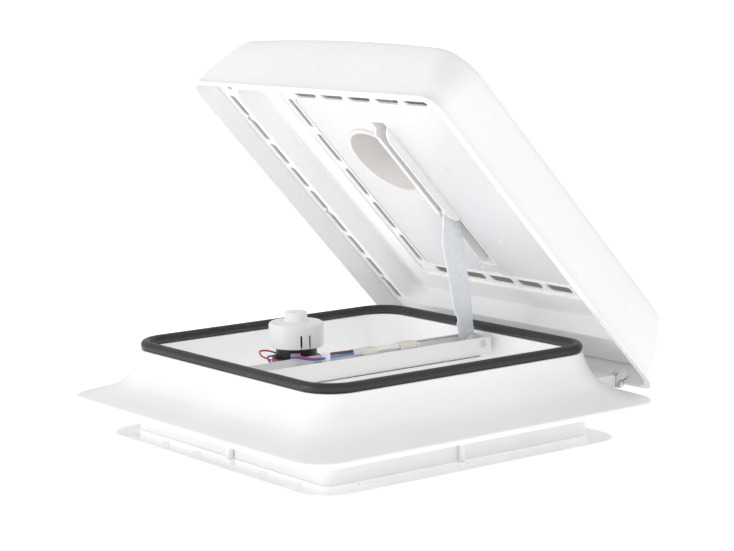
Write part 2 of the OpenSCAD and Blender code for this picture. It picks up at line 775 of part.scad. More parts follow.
roof_frame();
frame_seal();
hinge_bracket_left();
hinge_bracket_right();
hinge_pin_left();
hinge_pin_right();
bracket_screws();
trim_frame();
trim_screws();
crossbeam_tray();
crossbeam_cover();
light_diffuser();
light_board();
control_board();
button_open();
button_close();
button_light();
motor_body();
motor_cap();
motor_gearcase();
limit_switch();
motor_lead_red();
motor_lead_blue();
supply_lead_blue();
supply_lead_brown();
lead_sleeve();
connector_front();
connector_rear();
lead_conduit();
lead_clips();
drive_shaft();
drive_worm();
shaft_bushes();
arm_worm_wheel();
arm_shaft();
arm_shaft_bushes();
lifting_arm();
arm_pin();
arm_roller();
dome_shell();
dome_liner();
dome_pane();
arm_rail();
motor_pocket();
hinge_lugs_left();
hinge_lugs_right();
dome_screws();
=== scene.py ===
"""Looks of the roof vent cover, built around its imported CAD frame. Sizes are in millimetres until a mesh is made."""

import json
import math

import bmesh
import bpy
from mathutils import Matrix, Vector


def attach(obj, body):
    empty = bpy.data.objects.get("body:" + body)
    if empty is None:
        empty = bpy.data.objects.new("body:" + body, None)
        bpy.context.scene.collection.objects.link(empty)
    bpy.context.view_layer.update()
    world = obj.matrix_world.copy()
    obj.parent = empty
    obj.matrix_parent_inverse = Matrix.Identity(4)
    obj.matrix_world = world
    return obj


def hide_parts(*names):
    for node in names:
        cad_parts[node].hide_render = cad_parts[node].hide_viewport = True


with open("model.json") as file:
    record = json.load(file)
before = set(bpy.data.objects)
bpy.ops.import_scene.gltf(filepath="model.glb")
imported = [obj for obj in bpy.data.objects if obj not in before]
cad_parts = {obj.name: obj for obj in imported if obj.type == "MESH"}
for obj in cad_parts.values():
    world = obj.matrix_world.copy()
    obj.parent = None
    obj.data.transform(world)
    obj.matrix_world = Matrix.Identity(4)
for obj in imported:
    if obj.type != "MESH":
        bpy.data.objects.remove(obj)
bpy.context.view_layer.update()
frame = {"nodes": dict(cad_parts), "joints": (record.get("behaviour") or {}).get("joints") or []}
NODES = frame["nodes"]
JOINTS = {joint["name"]: joint for joint in frame["joints"]}

MM = 0.001
CORNER_STEPS = 16
SHARP_ANGLE = math.radians(32)
SMALLEST_RADIUS = 0.01
MERGE_DISTANCE = 0.00001
BEVEL_STEPS = 2
BEVEL_PROFILE = 0.6
BEVEL_ANGLE = math.radians(50)

# The dome stands open: what is drawn for the closed dome turns about the hinge
HINGE = Vector(JOINTS["dome_hinge"]["pos_m"]) / MM
OPEN_ANGLE = math.radians(JOINTS["dome_hinge"]["range_deg"][0])
OPENED = Matrix.Translation(HINGE) @ Matrix.Rotation(OPEN_ANGLE, 4, "X") @ Matrix.Translation(-HINGE)
PIVOT = Vector(JOINTS["arm_pivot"]["pos_m"]) / MM
ROLLER = Vector(JOINTS["roller_spin"]["pos_m"]) / MM
ARM_LENGTH = (ROLLER - PIVOT).length
ARM_ANGLE = math.atan2(ROLLER.z - PIVOT.z, PIVOT.y - ROLLER.y)
ON_ARM = Matrix.Translation(PIVOT) @ Matrix.Rotation(-ARM_ANGLE, 4, "X")


# ---------------------------------------------------------------- shapes, as (points, faces)

def ring(line, steps=CORNER_STEPS):
    """Points of a rounded rectangle, anticlockwise from above.

    line is half width, front, back, corner radius and height.
    """
    half_x, front, back, radius, z = line
    points = []
    for corner in range(4):
        centre_x = half_x - radius if corner in (0, 3) else radius - half_x
        centre_y = back - radius if corner < 2 else front + radius
        for step in range(steps + 1):
            turn = math.radians(90 * (corner + step / steps))
            points.append((centre_x + radius * math.cos(turn), centre_y + radius * math.sin(turn), z))
    return points


def square(half, radius, z):
    """A line for ring() with four equal sides."""
    return (half, -half, half, radius, z)


def bend(before, here, after, reach, steps=4):
    """A soft corner at here, which starts and ends up to reach away from it."""
    def toward(other):
        span = math.hypot(other[0] - here[0], other[-1] - here[-1]) or math.dist(other, here)
        share = min(0.48, reach / span)
        return [h + share * (o - h) for h, o in zip(here, other)]
    start, end = toward(before), toward(after)
    out = []
    for step in range(steps + 1):
        t = step / steps
        out.append([(1 - t) ** 2 * s + 2 * t * (1 - t) * h + t * t * e for s, h, e in zip(start, here, end)])
    return out


def soften(profile, closed):
    """Rounds a profile's corners. Each entry is a line and how far the rounding reaches, 0 for a sharp corner."""
    out = []
    last = len(profile) - 1
    for i, (line, reach) in enumerate(profile):
        if reach == 0 or (not closed and i in (0, last)):
            out.append(list(line))
        else:
            out.extend(bend(profile[i - 1][0], line, profile[(i + 1) % (last + 1)][0], reach))
    return out


def loft(rings, closed=False):
    """Skin over rings that all have as many points, capped at both ends unless it is closed."""
    count, total = len(rings[0]), len(rings)
    points = [p for one in rings for p in one]
    faces = []
    for i in range(total if closed else total - 1):
        j = (i + 1) % total
        for k in range(count):
            n = (k + 1) % count
            faces.append((i * count + k, i * count + n, j * count + n, j * count + k))
    if not closed:
        faces.append(tuple(range(count))[::-1])
        faces.append(tuple((total - 1) * count + k for k in range(count)))
    return points, faces


def frame_loft(profile):
    """A rectangular frame whose section is this closed profile."""
    return loft([ring(line) for line in soften(profile, True)], closed=True)


def lathe(profile, centre, steps, closed=True):
    """Turns a profile of (radius, height) about Z."""
    rings = []
    for radius, z in profile:
        reach = max(radius, SMALLEST_RADIUS)
        rings.append([(centre[0] + reach * math.cos(2 * math.pi * k / steps),
                       centre[1] + reach * math.sin(2 * math.pi * k / steps), z) for k in range(steps)])
    return loft(rings, closed=closed)


def from_bmesh(bm):
    """The mesh as (points, faces)."""
    bm.verts.ensure_lookup_table()
    points = [tuple(v.co) for v in bm.verts]
    faces = [tuple(v.index for v in f.verts) for f in bm.faces]
    bm.free()
    return points, faces


def block(low, high, bevel=0.6):
    """Box with rounded edges."""
    bm = bmesh.new()
    bmesh.ops.create_cube(bm, size=1.0)
    low, high = Vector(low), Vector(high)
    for v in bm.verts:
        v.co = Vector([low[a] + (v.co[a] + 0.5) * (high[a] - low[a]) for a in range(3)])
    if bevel:
        bmesh.ops.bevel(bm, geom=list(bm.edges), offset=bevel, segments=BEVEL_STEPS, affect="EDGES",
                        profile=BEVEL_PROFILE)
    bm.verts.index_update()
    return from_bmesh(bm)


def prism(outline, low, high, bevel):
    """Upright plate with this outline, anticlockwise from above, and rounded edges top and bottom."""
    bm = bmesh.new()
    bottom = [bm.verts.new((x, y, low)) for x, y in outline]
    top = [bm.verts.new((x, y, high)) for x, y in outline]
    faces = [bm.faces.new(bottom[::-1]), bm.faces.new(top)]
    for k in range(len(outline)):
        n = (k + 1) % len(outline)
        bm.faces.new((bottom[k], bottom[n], top[n], top[k]))
    if bevel:
        edges = {e for f in faces for e in f.edges}
        bmesh.ops.bevel(bm, geom=list(edges), offset=bevel, segments=BEVEL_STEPS, affect="EDGES",
                        profile=BEVEL_PROFILE)
    bm.verts.index_update()
    return from_bmesh(bm)


def sweep(points, radius, sides=16):
    """Round tube along points. Its section follows the line without twisting."""
    path = [Vector(p) for p in points]
    last = len(path) - 1
    side = None
    rings = []
    for i, here in enumerate(path):
        along = (path[min(i + 1, last)] - path[max(i - 1, 0)]).normalized()
        if side is None:
            side = along.orthogonal().normalized()
        side = (side - along * side.dot(along)).normalized()
        up = along.cross(side)
        rings.append([here + radius * (math.cos(a) * side + math.sin(a) * up)
                      for a in (2 * math.pi * k / sides for k in range(sides))])
    return loft([[tuple(p) for p in one] for one in rings])


def curve_through(points):
    """Smooth curve through given points."""
    steps = 8
    p = [Vector(q) for q in points]
    last = len(p) - 1
    out = []
    for i in range(last):
        a, b, c, d = p[max(i - 1, 0)], p[i], p[i + 1], p[min(i + 2, last)]
        for s in range(steps):
            t = s / steps
            out.append(0.5 * (2 * b + (c - a) * t + (2 * a - 5 * b + 4 * c - d) * t * t
                              + (3 * b - a - 3 * c + d) * t ** 3))
    return out + [p[last]]


def moved(shape, matrix):
    """The shape after this matrix."""
    points, faces = shape
    return [tuple(matrix @ Vector(p)) for p in points], faces


def circle(centre, radius, steps, start=0.0, stop=360.0):
    """Points of a circle, or of an arc from start to stop in degrees."""
    count = steps if stop - start >= 360 else steps + 1
    return [(centre[0] + radius * math.cos(math.radians(start + (stop - start) * k / steps)),
             centre[1] + radius * math.sin(math.radians(start + (stop - start) * k / steps))) for k in range(count)]


def slot_outline(x, y, length, width, upright, grow):
    """Slot with round ends about (x, y), along X or, upright, along Y."""
    r = width / 2 + grow
    half = (length - width) / 2
    turns = [math.radians(-90 + 180 * k / 10) for k in range(11)]
    points = [(half + r * math.cos(a), r * math.sin(a)) for a in turns]
    points += [(-half - r * math.cos(a), -r * math.sin(a)) for a in turns]
    return [(x - q, y + p) if upright else (x + p, y + q) for p, q in points]


# ---------------------------------------------------------------- pieces

def make(name, shapes, matrix=Matrix.Identity(4)):
    """One object out of several shapes, in metres."""
    points, faces = [], []
    for shape_points, shape_faces in shapes:
        base = len(points)
        points.extend(shape_points)
        faces.extend(tuple(base + i for i in f) for f in shape_faces)
    mesh = bpy.data.meshes.new(name)
    mesh.from_pydata([(matrix @ Vector(p)) * MM for p in points], [], faces)
    mesh.update()
    obj = bpy.data.objects.new(name, mesh)
    bpy.context.scene.collection.objects.link(obj)
    tidy(obj)
    return obj


def tidy(obj):
    """Outward faces, smooth shading, and sharp edges kept sharp."""
    bm = bmesh.new()
    bm.from_mesh(obj.data)
    bmesh.ops.remove_doubles(bm, verts=bm.verts, dist=MERGE_DISTANCE)
    bmesh.ops.dissolve_degenerate(bm, edges=bm.edges, dist=MERGE_DISTANCE / 2)
    bmesh.ops.recalc_face_normals(bm, faces=bm.faces)
    for face in bm.faces:
        face.smooth = True
    for edge in bm.edges:
        edge.smooth = len(edge.link_faces) == 2 and edge.calc_face_angle(0.0) < SHARP_ANGLE
    bm.to_mesh(obj.data)
    bm.free()


def apply_boolean(obj, other, operation):
    """Cuts other out of obj or joins it on, and deletes other."""
    modifier = obj.modifiers.new(operation, "BOOLEAN")
    modifier.operation = operation
    modifier.solver = "EXACT"
    modifier.object = other
    depsgraph = bpy.context.evaluated_depsgraph_get()
    mesh = bpy.data.meshes.new_from_object(obj.evaluated_get(depsgraph))
    obj.modifiers.remove(modifier)
    old = obj.data
    obj.data = mesh
    mesh.name = obj.name
    bpy.data.meshes.remove(old)
    bpy.data.objects.remove(other)
    tidy(obj)


def open_up(obj):
    """Turns a piece that was drawn on the closed dome to the open dome's place."""
    obj.data.transform(Matrix.Scale(MM, 4) @ OPENED @ Matrix.Scale(1 / MM, 4))
    tidy(obj)


def cut(obj, shapes, matrix=Matrix.Identity(4)):
    """Takes the shapes away from a piece."""
    apply_boolean(obj, make("cutter", shapes, matrix), "DIFFERENCE")


def add(obj, shapes, matrix=Matrix.Identity(4)):
    """Joins the shapes onto a piece as one skin."""
    apply_boolean(obj, make("addition", shapes, matrix), "UNION")


def weighted(obj):
    """Shading that follows the large faces."""
    modifier = obj.modifiers.new("weighted", "WEIGHTED_NORMAL")
    modifier.keep_sharp = True
    modifier.weight = 80


def dress(obj, body, material, replaces):
    """A piece gets its material and body, and stands for the nodes in replaces."""
    obj.data.materials.clear()
    obj.data.materials.append(material)
    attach(obj, body)
    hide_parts(*replaces)
    weighted(obj)


def dress_node(name, material, bevel):
    """A CAD node that keeps its shape gets softened edges and a material."""
    obj = NODES[name]
    weld = obj.modifiers.new("weld", "WELD")
    weld.merge_threshold = 2 * MERGE_DISTANCE
    edge = obj.modifiers.new("edges", "BEVEL")
    edge.width = bevel * MM
    edge.segments = BEVEL_STEPS
    edge.limit_method = "ANGLE"
    edge.angle_limit = BEVEL_ANGLE
    edge.use_clamp_overlap = True
    edge.harden_normals = False
    obj.data.materials.clear()
    obj.data.materials.append(material)
    for polygon in obj.data.polygons:
        polygon.material_index = 0
        polygon.use_smooth = True
    weighted(obj)


# ---------------------------------------------------------------- materials

GRAIN_DEPTH = 0.0002


def new_material(name):
    """A material, its node tree, its shader and where on the object a point is."""
    material = bpy.data.materials.new(name)
    material.use_nodes = True
    # Faces that glow still light the scene, but aren't sampled as lamps
    material.cycles.emission_sampling = "NONE"
    tree = material.node_tree
    shader = next(n for n in tree.nodes if n.type == "BSDF_PRINCIPLED")
    place = tree.nodes.new("ShaderNodeTexCoord").outputs["Object"]
    return material, tree, shader, place


def noise(tree, place, scale, detail, rough=0.5, stretch=None):
    """Soft noise, drawn out along an axis where stretch is small."""
    if stretch:
        mapping = tree.nodes.new("ShaderNodeMapping")
        mapping.inputs["Scale"].default_value = stretch
        tree.links.new(place, mapping.inputs["Vector"])
        place = mapping.outputs["Vector"]
    node = tree.nodes.new("ShaderNodeTexNoise")
    node.inputs["Scale"].default_value = scale
    node.inputs["Detail"].default_value = detail
    node.inputs["Roughness"].default_value = rough
    tree.links.new(place, node.inputs["Vector"])
    return node.outputs["Fac"]


def blend_colours(tree, factor, dark, light, low=0.35, high=0.65):
    """Dark where the factor is below low, light where it is above high."""
    ramp = tree.nodes.new("ShaderNodeValToRGB")
    ramp.color_ramp.elements[0].position = low
    ramp.color_ramp.elements[1].position = high
    ramp.color_ramp.elements[0].color = (*dark, 1)
    ramp.color_ramp.elements[1].color = (*light, 1)
    tree.links.new(factor, ramp.inputs["Fac"])
    return ramp.outputs["Color"]


def spread(tree, factor, low, high):
    """Values from low to high over the middle range of a noise."""
    node = tree.nodes.new("ShaderNodeMapRange")
    node.inputs["From Min"].default_value = 0.3
    node.inputs["From Max"].default_value = 0.7
    node.inputs["To Min"].default_value = low
    node.inputs["To Max"].default_value = high
    tree.links.new(factor, node.inputs["Value"])
    return node.outputs["Result"]


def bump(tree, shader, height, strength):
    """A fine grain in the shader's normal."""
    node = tree.nodes.new("ShaderNodeBump")
    node.inputs["Strength"].default_value = strength
    node.inputs["Distance"].default_value = GRAIN_DEPTH
    tree.links.new(height, node.inputs["Height"])
    tree.links.new(node.outputs["Normal"], shader.inputs["Normal"])


def plastic(name, dark, light, rough, grain=0.1, grain_scale=900, metallic=0.0, **sockets):
    """Moulded plastic: slow colour drift, uneven polish and a fine moulded grain."""
    material, tree, shader, place = new_material(name)
    tree.links.new(blend_colours(tree, noise(tree, place, 7, 2), dark, light), shader.inputs["Base Color"])
    tree.links.new(spread(tree, noise(tree, place, 45, 4, 0.6), *rough), shader.inputs["Roughness"])
    bump(tree, shader, noise(tree, place, grain_scale, 1.5), grain)
    shader.inputs["Metallic"].default_value = metallic
    for socket, value in sockets.items():
        shader.inputs[socket.replace("_", " ")].default_value = value
    return material


def galvanised(name, dark, light):
    """Zinc-coated strip: faint crystals and rolling marks along the strip."""
    material, tree, shader, place = new_material(name)
    cells = tree.nodes.new("ShaderNodeTexVoronoi")
    cells.inputs["Scale"].default_value = 170
    tree.links.new(place, cells.inputs["Vector"])
    grey = tree.nodes.new("ShaderNodeSeparateColor")
    tree.links.new(cells.outputs["Color"], grey.inputs["Color"])
    tree.links.new(blend_colours(tree, grey.outputs["Red"], dark, light, 0.0, 1.0), shader.inputs["Base Color"])
    tree.links.new(spread(tree, noise(tree, place, 60, 4, 0.6, (1, 0.2, 0.2)), 0.3, 0.5), shader.inputs["Roughness"])
    bump(tree, shader, noise(tree, place, 400, 3, 0.5, (1, 0.1, 0.1)), 0.15)
    shader.inputs["Metallic"].default_value = 0.25
    return material


# Painted light: a faint white glow on the dome shell and roof frame, which lifts their shaded sides
PAINTED_GLOW = {"Emission_Color": (1, 1, 1, 1), "Emission_Strength": 0.02}
# Painted light: a stronger glow on the trim frame, which lightens the shade in its channel under the flange
PAINTED_DEEP_GLOW = {"Emission_Color": (1, 1, 1, 1), "Emission_Strength": 0.17}
WHITE = plastic("white_gloss", (0.86, 0.86, 0.87), (0.885, 0.885, 0.89), (0.26, 0.36), 0.02, 140, **PAINTED_GLOW)
FRAME_WHITE = plastic("frame_white", (0.86, 0.86, 0.865), (0.885, 0.885, 0.888), (0.3, 0.42), 0.02, 140, **PAINTED_GLOW)
TRIM_WHITE = plastic("trim_white", (0.86, 0.855, 0.85), (0.885, 0.88, 0.875), (0.3, 0.42), 0.02, 140, **PAINTED_DEEP_GLOW)
# Painted light: the liner and rail glow faintly warm, which lightens the shaded inside of the open dome
LINER = plastic("liner_white", (0.85, 0.848, 0.85), (0.88, 0.878, 0.88), (0.4, 0.55), 0.03, 160,
                Emission_Color=(1, 0.96, 0.93, 1), Emission_Strength=0.05)
# Painted shade: the motor pocket cup is drawn darker beige than the white plastic, for the shade inside the pocket
PAINTED_SHADE_CUP = plastic("cup_painted_shade", (0.76, 0.735, 0.72), (0.80, 0.78, 0.77), (0.4, 0.55), 0.03, 160)
# Painted shade: dark brown for the shaded deep end of the rail's hollow
PAINTED_SHADE_RECESS = plastic("rail_painted_shade", (0.42, 0.35, 0.33), (0.5, 0.43, 0.41), (0.5, 0.6), 0.05, 160)
PANE = plastic("clear_pane", (0.86, 0.86, 0.885), (0.89, 0.89, 0.915), (0.2, 0.28), 0.015, 120,
               Transmission_Weight=0.15, IOR=1.49)
BEAM = plastic("beam_white", (0.85, 0.85, 0.855), (0.88, 0.88, 0.885), (0.34, 0.46), 0.02, 140)
RUBBER = plastic("rubber", (0.010, 0.011, 0.013), (0.016, 0.017, 0.02), (0.38, 0.5), 0.2, 1200)
STRIP = galvanised("galvanised_steel", (0.83, 0.87, 0.90), (0.89, 0.92, 0.95))
STEEL = plastic("bright_steel", (0.58, 0.59, 0.61), (0.68, 0.69, 0.7), (0.22, 0.34), 0.1, 500, 1.0)
BRASS = plastic("brass_gear", (0.55, 0.38, 0.16), (0.66, 0.48, 0.22), (0.28, 0.4), 0.1, 500, 1.0)
ACETAL = plastic("acetal", (0.74, 0.73, 0.68), (0.79, 0.78, 0.73), (0.38, 0.5), 0.06)
BLACK = plastic("black_plastic", (0.008, 0.008, 0.009), (0.014, 0.014, 0.015), (0.35, 0.5), 0.15)
GREY = plastic("button_grey", (0.32, 0.33, 0.35), (0.37, 0.38, 0.4), (0.42, 0.52), 0.1)
DIFFUSER = plastic("diffuser", (0.78, 0.77, 0.73), (0.84, 0.83, 0.79), (0.4, 0.5), 0.2, 1600,
                   Transmission_Weight=0.25)
BOARD = plastic("board_green", (0.012, 0.09, 0.035), (0.02, 0.14, 0.05), (0.3, 0.45), 0.2, 300)
RED = plastic("lead_red", (0.5, 0.02, 0.02), (0.66, 0.05, 0.04), (0.35, 0.48), 0.1)
BLUE = plastic("lead_blue", (0.015, 0.05, 0.36), (0.03, 0.1, 0.55), (0.35, 0.48), 0.1)
SKY = plastic("supply_blue", (0.1, 0.3, 0.66), (0.16, 0.38, 0.76), (0.35, 0.48), 0.1)
BROWN = plastic("lead_brown", (0.12, 0.035, 0.015), (0.2, 0.07, 0.03), (0.35, 0.48), 0.1)
SLEEVE = plastic("sleeve_white", (0.68, 0.66, 0.74), (0.74, 0.72, 0.8), (0.4, 0.5), 0.15)
CREAM = plastic("connector_cream", (0.74, 0.71, 0.62), (0.8, 0.77, 0.68), (0.34, 0.45), 0.08)

# ---------------------------------------------------------------- roof frame

# The section, from the spigot's lower inner edge round the flange and back. Each point is half width, corner
# radius and height, and how far its corner is rounded
roof_frame = make("roof_frame_moulding", [frame_loft([
    (square(198, 14, -36), 0.8), (square(198, 15, -2), 3), (square(197.5, 34, 46), 4), (square(199.5, 38, 56), 3),
    (square(203, 39, 47), 4), (square(209, 39, 34), 6), (square(218.5, 39, 21.5), 6), (square(235, 39, 12), 3),
    (square(238, 37, 0), 0.8), (square(258, 38, 0), 0.9), (square(261, 41, 1), 0.9), (square(261, 41, 7), 1.6),
    (square(254, 41, 9.5), 3), (square(237, 42, 15), 6), (square(221, 42, 24), 7), (square(212, 42, 37), 7),
    (square(206, 42, 50), 7), (square(203, 42, 65.1), 0.9), (square(193.5, 36, 65.1), 0.9), (square(193.5, 36, 48), 5),
    (square(194.5, 16, -2), 5), (square(195, 12, -36), 0.8)])])
BOSSES = [block((side * 180 - 17, 208, 2), (side * 180 + 17, 236, 31), 1.2) for side in (-1, 1)]
POST_PLACES = [(201.4, -8), (8, 201.4), (-201.4, 8), (14, -201.4)]
POSTS = [lathe([(1.8, -36), (3.8, -36), (4.4, -35.2), (4.4, 1), (1.8, 1)], place, 32) for place in POST_PLACES]
add(roof_frame, BOSSES)
add(roof_frame, POSTS)
dress(roof_frame, "frame", FRAME_WHITE, ["roof_frame"])

SEAL_Z = 70.5
SEAL_RADIUS = 6
seal_section = circle((0, 0), SEAL_RADIUS, 24)
seal = make("frame_seal_rubber", [loft([ring(square(198 + dx, 39 + dx, SEAL_Z + dz), 20) for dx, dz in seal_section],
                                       closed=True)])
dress(seal, "frame", RUBBER, ["frame_seal"])

# ---------------------------------------------------------------- trim frame

# The section, with the channel that the ribs stand in
trim = make("trim_frame_moulding", [frame_loft([
    (square(191, 11.5, -58), 0.8), (square(221, 34, -58), 3), (square(226.5, 40, -54), 3), (square(229, 43, -45), 3),
    (square(229, 43, -39), 0.8), (square(226.5, 40.5, -39), 0.8), (square(226.5, 40.5, -45), 3),
    (square(224, 37.5, -52), 2.5), (square(220, 32, -55.4), 2), (square(198.5, 14, -55.4), 0.8),
    (square(198.5, 14, -36.6), 0.8), (square(196, 11.5, -36.6), 0.8), (square(196, 11.5, -55.4), 0.8),
    (square(193.5, 14, -55.4), 0.8), (square(193.5, 14, -5), 0.8), (square(191, 11.5, -5), 0.8)])])
# A rib seen from its side, as distances from the middle and heights
RIB_OUTLINE = [(197.5, -57), (220, -57), (224.5, -53), (227.5, -44.5), (227.5, -41.5), (209, -41.5), (206, -39.3),
               (197.5, -39.3)]
UPRIGHT = Matrix(((1, 0, 0, 0), (0, 0, 1, 0), (0, 1, 0, 0), (0, 0, 0, 1)))
RIB_PITCH = 68
RIB_SHIFTS = (1, 12, 1, 12)
ribs = []
for quarter, shift in enumerate(RIB_SHIFTS):
    turn = Matrix.Rotation(math.radians(90 * quarter), 4, "Z")
    for place in range(-2, 3):
        middle = RIB_PITCH * place + shift
        ribs.append(moved(prism(RIB_OUTLINE, middle - 1, middle + 1, 0.3), turn @ UPRIGHT))
trim_posts = [lathe([(2.3, -57.5), (4.4, -57.5), (4.4, -37.4), (3.8, -36.6), (2.3, -36.6)], place, 32)
              for place in POST_PLACES]
add(trim, ribs)
add(trim, trim_posts)
# Small holes through the inner wall, beside the posts: the side they are on, as a turn, and their place along it
HOLE_PLACES = ((0, -154), (0, -139), (0, -13), (-90, 18), (90, -18), (180, 13))
HOLE_Z = -39.8
wall_holes = [lathe([(1.7, 190), (1.7, 200)], (0, 0), 20, False)]
for turn, along in HOLE_PLACES:
    cut(trim, wall_holes, Matrix.Rotation(math.radians(turn), 4, "Z") @ Matrix.Translation((0, along, HOLE_Z))
        @ Matrix.Rotation(math.radians(90), 4, "Y"))
dress(trim, "frame", TRIM_WHITE, ["trim_frame"])

# ---------------------------------------------------------------- dome shell

RIM = 23.8
# Middle along Y, half width of the arch, height of the arch and of the crown above it, and height above the rim
DOME_MIDDLE, DOME_HALF, DOME_ARCH, DOME_CROWN, DOME_TOP = 8, 230, 9, 4, 83
DOME_WALL = 3
SIDE_STEPS = 15


def shell_line(half_x, front, back, radius, height, share=0.0):
    """Half width, front, back, corner radius, share of the arch and height."""
    return (half_x, front, back, radius, share, RIM + height)


def crown_line(share, drop=0.0):
    """A ring of the dome's top, as a share of its outermost ring and lowered by drop."""
    return shell_line(210 * share, DOME_MIDDLE - 232 * share, DOME_MIDDLE + 225 * share, 42 * share,
                      DOME_TOP + DOME_CROWN * (1 - share * share) - drop, 1.0)


def arched_ring(line):
    """Ring with points along its straight sides, raised by a share of the arch, less towards left and right."""
    *outline, share, z = line
    corners = ring((*outline, z))
    points = []
    for i, here in enumerate(corners):
        points.append(here)
        if i % (CORNER_STEPS + 1) == CORNER_STEPS:
            after = corners[(i + 1) % len(corners)]
            for k in range(1, SIDE_STEPS + 1):
                t = k / (SIDE_STEPS + 1)
                points.append(tuple(a + t * (b - a) for a, b in zip(here, after)))
    return [(x, y, h + DOME_ARCH * share * (1 - (x / DOME_HALF) ** 2)) for x, y, h in points]


CROWN_SHARES = [1, 0.93, 0.85, 0.75, 0.65, 0.55, 0.45, 0.35, 0.25, 0.15, 0.06]
outside = [
    (shell_line(246.4, -246.4, 260.8, 24, 0), 0.7), (shell_line(246.4, -246.4, 260.8, 24, 2.2), 1),
    (shell_line(240, -243.6, 258.6, 26, 4), 2), (shell_line(237, -243.4, 259.8, 27, 30), 8),
    (shell_line(231.5, -243.2, 254.5, 40, 58, 0.5), 8), (shell_line(227.5, -241, 250, 43, 73, 1.0), 6),
    (shell_line(222, -236.5, 244.5, 42, 80, 1.0), 6)] + [(crown_line(s), 0 if s < 0.94 else 6) for s in CROWN_SHARES]
inside = [(crown_line(s, DOME_WALL), 0) for s in CROWN_SHARES[::-1]] + [
    (shell_line(219, -233.5, 241.5, 39, 77.2, 1.0), 5), (shell_line(224.5, -238, 247, 40, 71.5, 1.0), 5),
    (shell_line(228.5, -240.2, 251.5, 37, 58, 0.5), 6), (shell_line(234, -240.4, 256.8, 24, 30), 8),
    (shell_line(237, -240.6, 255.6, 24, 4), 1), (shell_line(237, -240.6, 255.6, 24, 0), 0.7)]
shell_rings = [arched_ring(line) for line in soften(inside + outside, False)]
dome_shell = make("dome_shell_moulding", [loft(shell_rings)], OPENED)
dress(dome_shell, "dome", WHITE, ["dome_shell"])

# ---------------------------------------------------------------- dome liner

# Heights of the outer ledge, the land and the channel in it, and the wall's thickness
LEDGE_Z, LAND_Z, CHANNEL_Z, SKIN = 49.8, 77.1, 74.1, 2.5

# Length, width and pitch of the slots
OUTER_SLOT, SIDE_SLOT, END_SLOT = (38, 11, 44.5), (52, 11, 64), (44, 14, 54)
OUTER_SLOT_SHIFT, SIDE_SLOT_SHIFT = 3, -10
liner = make("dome_liner_moulding", [frame_loft([
    ((233, -240, 253.5, 38, LEDGE_Z), 0.6), ((206.5, -206.5, 206.5, 24.5, LEDGE_Z), 1.6),
    ((206.5, -206.5, 206.5, 24.5, LAND_Z), 2.5), ((187.1, -190.6, 187.1, 20.1, LAND_Z), 1),
    ((187.1, -190.6, 187.1, 20.1, CHANNEL_Z), 1), ((160.5, -185, 168, 12.5, CHANNEL_Z), 1),
    ((160.5, -185, 168, 12.5, LAND_Z), 1), ((143.4, -169.4, 149.4, 12.4, LAND_Z), 0.5),
    ((143.4, -169.4, 149.4, 12.4, LAND_Z - 1.3), 0.5), ((140, -166, 146, 9, LAND_Z - 1.3), 0.5),
    ((140, -166, 146, 9, LAND_Z + SKIN), 0.4), ((163, -187.5, 170.5, 15, LAND_Z + SKIN), 0.8),
    ((163, -187.5, 170.5, 15, CHANNEL_Z + SKIN), 0.8),
    ((184.6, -188.1, 184.6, 17.6, CHANNEL_Z + SKIN), 0.8),
    ((184.6, -188.1, 184.6, 17.6, LAND_Z + SKIN), 0.8),
    ((209, -209, 209, 27, LAND_Z + SKIN), 2.5), ((209, -209, 209, 27, LEDGE_Z + SKIN), 1),
    ((233, -240, 253.5, 38, LEDGE_Z + SKIN), 0.6)])], OPENED)


def slot_cutter(x, y, slot, upright, low):
    """Cuts a slot with a small chamfer on the side that shows."""
    length, width = slot[:2]
    rings = []
    for z, grow in ((low - 1, 1.6), (low + 0.6, 0.0), (low + SKIN + 1, 0.0)):
        rings.append([(px, py, z) for px, py in slot_outline(x, y, length, width, upright, grow)])
    return loft(rings)


cutters = []
for place in range(-4, 5):
    along = OUTER_SLOT[2] * place
    cutters.append(slot_cutter(along, -224, OUTER_SLOT, False, LEDGE_Z))
    for x in (-220, 220):
        cutters.append(slot_cutter(x, along + OUTER_SLOT_SHIFT, OUTER_SLOT, True, LEDGE_Z))
for place in range(-2, 3):
    for y in (-175.5, 157):
        cutters.append(slot_cutter(END_SLOT[2] * place, y, END_SLOT, False, LAND_Z))
    for x in (-150.2, 150.2):
        cutters.append(slot_cutter(x, SIDE_SLOT[2] * place + SIDE_SLOT_SHIFT, SIDE_SLOT, True, LAND_Z))
cutters += [lathe([(5.6, LEDGE_Z - 1), (5, LEDGE_Z + 0.6), (5, LEDGE_Z + SKIN + 1)], (209 * side, -210), 32, False)
            for side in (-1, 1)]
cut(liner, cutters, OPENED)
dress(liner, "dome", LINER, ["dome_liner"])

# ---------------------------------------------------------------- pane, pocket and rail

PANE_Z = 77.6
POCKET = (-47, -60)
# The flat wall beside the rail, which closes the round cup
POCKET_FLAT = -14.6
POCKET_FLAT_REACH = 41.5
RAIL_FRONT, RAIL_BACK, RAIL_SLOT_FRONT, RAIL_SLOT_BACK = -142, 128, -132.5, 26
RAIL_Z, RAIL_TOP = 81.5, 108
RAIL_HALF, RAIL_WALL = 14.4, 2.4
# Half width and half height of the space that the rollers run in
HOLLOW_HALF, HOLLOW_REACH = 12, 8.3
pane = make("dome_pane_sheet", [loft([ring(line, 10) for line in soften([
    ((138.5, -164.5, 144.5, 8, PANE_Z), 0), ((139.8, -165.8, 145.8, 8.8, PANE_Z + 0.4), 0),
    ((139.8, -165.8, 145.8, 8.8, PANE_Z + 2), 0)], False)])], OPENED)
cut(pane, [lathe([(53.6, PANE_Z - 2), (53.6, PANE_Z + 5)], POCKET, 128, False)], OPENED)
cut(pane, [block((-14.5, RAIL_FRONT - 0.1, PANE_Z - 3), (14.5, RAIL_BACK + 0.1, PANE_Z + 6), 0)], OPENED)
dress(pane, "dome", PANE, ["dome_pane"])

